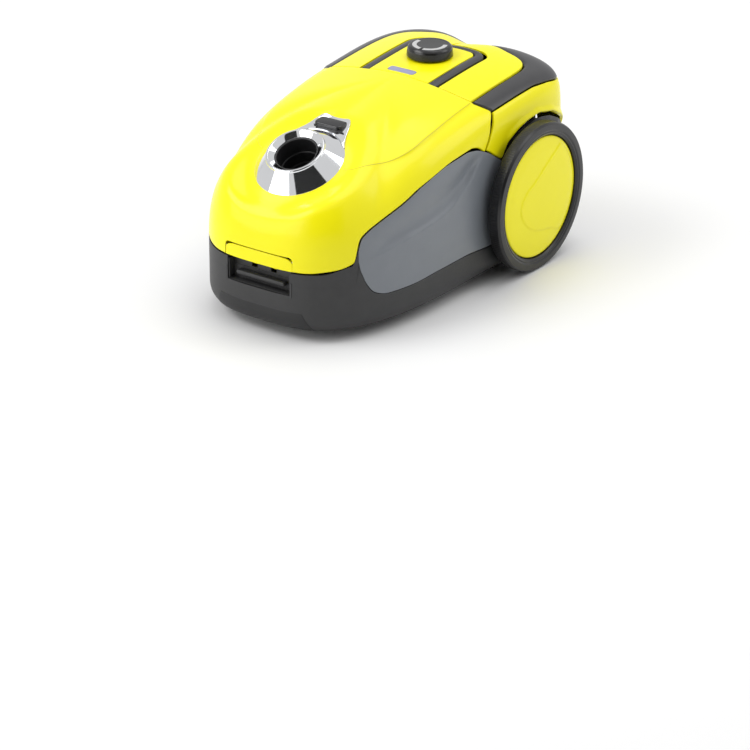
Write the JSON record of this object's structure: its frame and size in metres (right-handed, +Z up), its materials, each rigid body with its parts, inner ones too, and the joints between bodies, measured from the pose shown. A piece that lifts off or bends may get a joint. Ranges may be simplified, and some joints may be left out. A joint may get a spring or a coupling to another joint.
{
  "type": "canister vacuum cleaner",
  "caption": "Domed canister vacuum cleaner with tilted hose inlet, rotary power knob, carry handle, foot pedals and large rear wheels.",
  "frame": {"origin": "centre of the bounding box on the floor plane, the point midway between the wheels' outer faces and midway between nose and tail", "axes": "+Z up, -Y towards the nose with the hose inlet, +Y towards the rear wheels, +X to the user's left when standing behind it"},
  "size_m": [0.281, 0.403, 0.221],
  "materials": {
    "yellow_shell": "high gloss",
    "dark_base": "fine matte texture",
    "grey_panel": "satin",
    "dark_trim": "satin gloss",
    "black_plastic": "gloss",
    "black_matte": "matte",
    "chrome_trim": "mirror chrome",
    "steel": "brushed",
    "window": "clear tinted",
    "flag_red": "matte",
    "tyre_rubber": "satin rubber",
    "seal_rubber": "matte",
    "board_green": "satin",
    "bag_fleece": "non-woven fleece",
    "card": "uncoated card",
    "filter_foam": "open foam",
    "filter_paper": "pleated paper",
    "copper": "lacquered winding",
    "spring_steel": "bright wire",
    "carbon": "pressed carbon",
    "grey_inner": "matte moulding",
    "potentiometer": "moulded"
  },
  "bodies": {
    "chassis": {"base_tub": "dark_base", "side_panel_left": "grey_panel", "side_panel_right": "grey_panel", "rear_housing": "yellow_shell", "outer_band": "dark_trim", "top_frame": "black_matte", "control_deck": "yellow_shell", "indicator_window": "window", "knob_potentiometer": "potentiometer", "control_board": "board_green", "handle_pins": "steel", "pedal_pins": "steel", "pedal_spring_power": "spring_steel", "pedal_spring_rewind": "spring_steel", "power_switch": "black_matte", "lid_hinge_pins": "steel", "bag_holder": "grey_inner", "bag_collar": "card", "dust_bag": "bag_fleece", "motor_filter": "filter_foam", "filter_grid": "black_matte", "motor_housing": "grey_inner", "fan_cover": "steel", "motor_stator": "copper", "motor_bearings": "steel", "motor_mounts": "seal_rubber", "carbon_brushes": "carbon", "reel_axle": "steel", "rewind_spring_case": "grey_inner", "cord_gland": "seal_rubber", "exhaust_filter_frame": "black_matte", "exhaust_filter": "filter_paper", "wheel_axles": "steel", "screws": "steel"},
    "flag": {"indicator_flag": "flag_red"},
    "knob": {"speed_knob": "black_plastic"},
    "handle": {"carry_handle": "dark_trim"},
    "power_pedal": {"pedal_power": "yellow_shell"},
    "rewind_pedal": {"pedal_rewind": "yellow_shell"},
    "lid": {"lid_shell": "yellow_shell", "inlet_ring": "chrome_trim", "inlet_liner": "black_matte", "inlet_gasket": "seal_rubber", "latch_pin": "steel"},
    "release": {"release_button": "black_plastic"},
    "latch": {"lid_latch": "yellow_shell"},
    "rotor": {"fan_impeller": "steel", "armature": "copper", "motor_shaft": "steel"},
    "reel": {"reel_drum": "dark_base"},
    "rear_cover": {"exhaust_cover": "dark_base"},
    "wheel_l": {"tyre_left": "tyre_rubber", "rim_left": "black_matte", "cap_left": "yellow_shell"},
    "wheel_r": {"tyre_right": "tyre_rubber", "rim_right": "black_matte", "cap_right": "yellow_shell"},
    "caster": {"caster_fork": "black_matte", "caster_axle": "steel"},
    "caster_roller": {"caster_wheel": "grey_inner"}
  },
  "joints": [
    {"name": "lid_hinge", "type": "hinge", "parent": "chassis", "child": "lid", "pos_m": [0, 0.035, 0.1976], "axis": [-1, 0, 0], "range_deg": [0, 75]},
    {"name": "handle_hinge", "type": "hinge", "parent": "chassis", "child": "handle", "pos_m": [0, 0.0475, 0.1992], "axis": [1, 0, 0], "range_deg": [0, 80]},
    {"name": "power_pedal_hinge", "type": "hinge", "parent": "chassis", "child": "power_pedal", "pos_m": [0, 0.05, 0.187], "axis": [1, 0, 0], "range_deg": [-2, 0], "stiffness_Nm_per_rad": 6, "deforming": ["pedal_spring_power"]},
    {"name": "rewind_pedal_hinge", "type": "hinge", "parent": "chassis", "child": "rewind_pedal", "pos_m": [0, 0.05, 0.187], "axis": [1, 0, 0], "range_deg": [-2, 0], "stiffness_Nm_per_rad": 6, "deforming": ["pedal_spring_rewind"]},
    {"name": "knob_turn", "type": "hinge", "parent": "chassis", "child": "knob", "pos_m": [0, 0.098, 0.215], "axis": [0, 0, 1], "range_deg": [0, 270]},
    {"name": "flag_slide", "type": "slide", "parent": "chassis", "child": "flag", "axis": [1, 0, 0], "range_m": [0, 0.018], "stiffness_N_per_m": 4},
    {"name": "release_press", "type": "slide", "parent": "lid", "child": "release", "axis": [0, 0.0906, -0.9959], "range_m": [0, 0.0025], "stiffness_N_per_m": 900},
    {"name": "latch_hinge", "type": "hinge", "parent": "lid", "child": "latch", "pos_m": [0, -0.196, 0.085], "axis": [-1, 0, 0], "range_deg": [0, 12], "stiffness_Nm_per_rad": 0.25},
    {"name": "rotor_spin", "type": "hinge", "parent": "chassis", "child": "rotor", "pos_m": [-0.048, 0.06, 0.088], "axis": [0, 1, 0], "continuous": true},
    {"name": "reel_spin", "type": "hinge", "parent": "chassis", "child": "reel", "pos_m": [0.014, 0.114, 0.1], "axis": [1, 0, 0], "continuous": true},
    {"name": "rear_cover_hinge", "type": "hinge", "parent": "chassis", "child": "rear_cover", "pos_m": [0, 0.1985, 0.041], "axis": [-1, 0, 0], "range_deg": [0, 90]},
    {"name": "wheel_left_roll", "type": "hinge", "parent": "chassis", "child": "wheel_l", "pos_m": [-0.13, 0.103, 0.08], "axis": [1, 0, 0], "continuous": true},
    {"name": "wheel_right_roll", "type": "hinge", "parent": "chassis", "child": "wheel_r", "pos_m": [0.13, 0.103, 0.08], "axis": [1, 0, 0], "continuous": true},
    {"name": "caster_swivel", "type": "hinge", "parent": "chassis", "child": "caster", "pos_m": [0, -0.15, 0.03], "axis": [0, 0, 1], "continuous": true},
    {"name": "caster_roll", "type": "hinge", "parent": "caster", "child": "caster_roller", "pos_m": [0, -0.142, 0.015], "axis": [1, 0, 0], "continuous": true}
  ]
}
